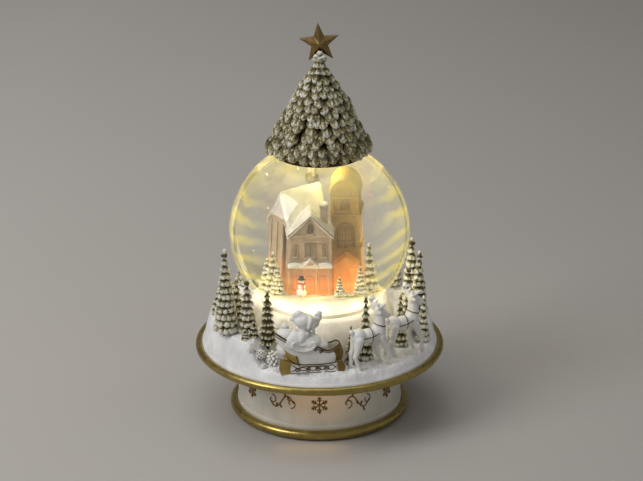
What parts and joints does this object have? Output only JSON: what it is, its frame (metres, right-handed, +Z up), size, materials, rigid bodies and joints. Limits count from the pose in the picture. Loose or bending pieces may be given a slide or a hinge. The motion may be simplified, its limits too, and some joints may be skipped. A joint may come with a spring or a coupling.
{
  "type": "musical snow globe",
  "caption": "Clear ball of liquid with a snowy village, on a round snow base with figures, firs and gilt rims, under a fir cap with a star.",
  "frame": {"origin": "centre of the resting face, on the table", "axes": "+Z up through the star, front with the sleigh towards -Y, +X to the viewer's right"},
  "size_m": [0.1396, 0.1396, 0.2234],
  "materials": {
    "felt": "matte felt",
    "white_resin": "painted cast resin",
    "gilt": "antique gold paint",
    "white_plastic": "fine texture",
    "steel": "plated",
    "cell_jacket": "wrapped",
    "dark_plastic": "satin",
    "wire": "insulated",
    "circuit_board": "satin",
    "lamp_lens": "clear",
    "diffuser": "frosted",
    "brass": "satin",
    "gear_plastic": "moulded",
    "snow": "painted cast resin with glitter",
    "glass": "clear",
    "stopper_rubber": "matte",
    "liquid": "clear liquid",
    "flake": "glitter",
    "village": "translucent cast resin",
    "scene_green": "painted",
    "fir_green": "bristle with frosted tips",
    "figure_white": "painted cast resin",
    "frost_green": "frosted"
  },
  "bodies": {
    "globe": {"felt_ring": "felt", "foot_plinth": "white_resin", "foot_rim_bead": "gilt", "bottom_cover": "white_plastic", "cover_screws": "steel", "battery_box": "white_plastic", "battery_cells": "cell_jacket", "battery_contacts": "steel", "battery_springs": "steel", "switch_body": "dark_plastic", "lead_wires": "wire", "led_board": "circuit_board", "leds": "lamp_lens", "led_board_screws": "steel", "light_diffuser": "diffuser", "movement_bedplate": "steel", "movement_bridge": "steel", "tone_comb": "steel", "comb_screws": "steel", "snow_base": "snow", "plate_rim_bead": "gilt", "glass_globe": "glass", "globe_stopper": "stopper_rubber", "liquid_fill": "liquid", "snow_flakes": "flake", "scene_ground": "snow", "scene_house": "village", "scene_nave": "village", "scene_tower": "village", "scene_firs": "scene_green", "snowman": "snow", "snowman_hat": "dark_plastic", "tree_cap": "fir_green", "star": "gilt", "star_pin": "steel", "sleigh": "figure_white", "seated_figure": "figure_white", "reindeer_near": "figure_white", "reindeer_far": "figure_white", "shrubs": "frost_green", "other_firs": "fir_green", "fir_01": "fir_green", "fir_02": "fir_green", "fir_03": "fir_green", "fir_04": "fir_green", "fir_05": "fir_green", "fir_06": "fir_green", "fir_07": "fir_green", "fir_08": "fir_green", "fir_09": "fir_green"},
    "winder": {"winding_key": "steel", "winding_shaft": "steel"},
    "barrel": {"spring_barrel": "brass", "mainspring": "steel"},
    "cylinder": {"tune_cylinder": "brass"},
    "governor": {"governor_wheel": "gear_plastic"},
    "worm": {"governor_worm": "steel"},
    "switch": {"switch_knob": "dark_plastic"},
    "door": {"battery_door": "white_plastic", "battery_door_screw": "steel"}
  },
  "joints": [
    {"name": "key_turn", "type": "hinge", "parent": "globe", "child": "winder", "pos_m": [-0.012, 0.0175, 0.02], "axis": [0, 0, 1], "continuous": true},
    {"name": "barrel_turn", "type": "hinge", "parent": "globe", "child": "barrel", "pos_m": [-0.012, 0.0175, 0.025], "axis": [0, 0, 1], "continuous": true},
    {"name": "cylinder_turn", "type": "hinge", "parent": "globe", "child": "cylinder", "pos_m": [0.0113, 0.0175, 0.02475], "axis": [1, 0, 0], "continuous": true},
    {"name": "governor_turn", "type": "hinge", "parent": "globe", "child": "governor", "pos_m": [0.022, 0.02351, 0.03076], "axis": [1, 0, 0], "continuous": true},
    {"name": "worm_turn", "type": "hinge", "parent": "globe", "child": "worm", "pos_m": [0.0235, 0.02831, 0.028], "axis": [0, 0, 1], "continuous": true},
    {"name": "switch_slide", "type": "slide", "parent": "globe", "child": "switch", "axis": [0, 1, 0], "range_m": [0, 0.003]},
    {"name": "door_lift_off", "type": "slide", "parent": "globe", "child": "door", "axis": [0, 0, -1], "range_m": [0, 0.011]}
  ],
  "couplings": [
    {"joint": "cylinder_turn", "follows": "barrel_turn", "ratio": 4},
    {"joint": "governor_turn", "follows": "barrel_turn", "ratio": -13},
    {"joint": "worm_turn", "follows": "barrel_turn", "ratio": 182}
  ]
}
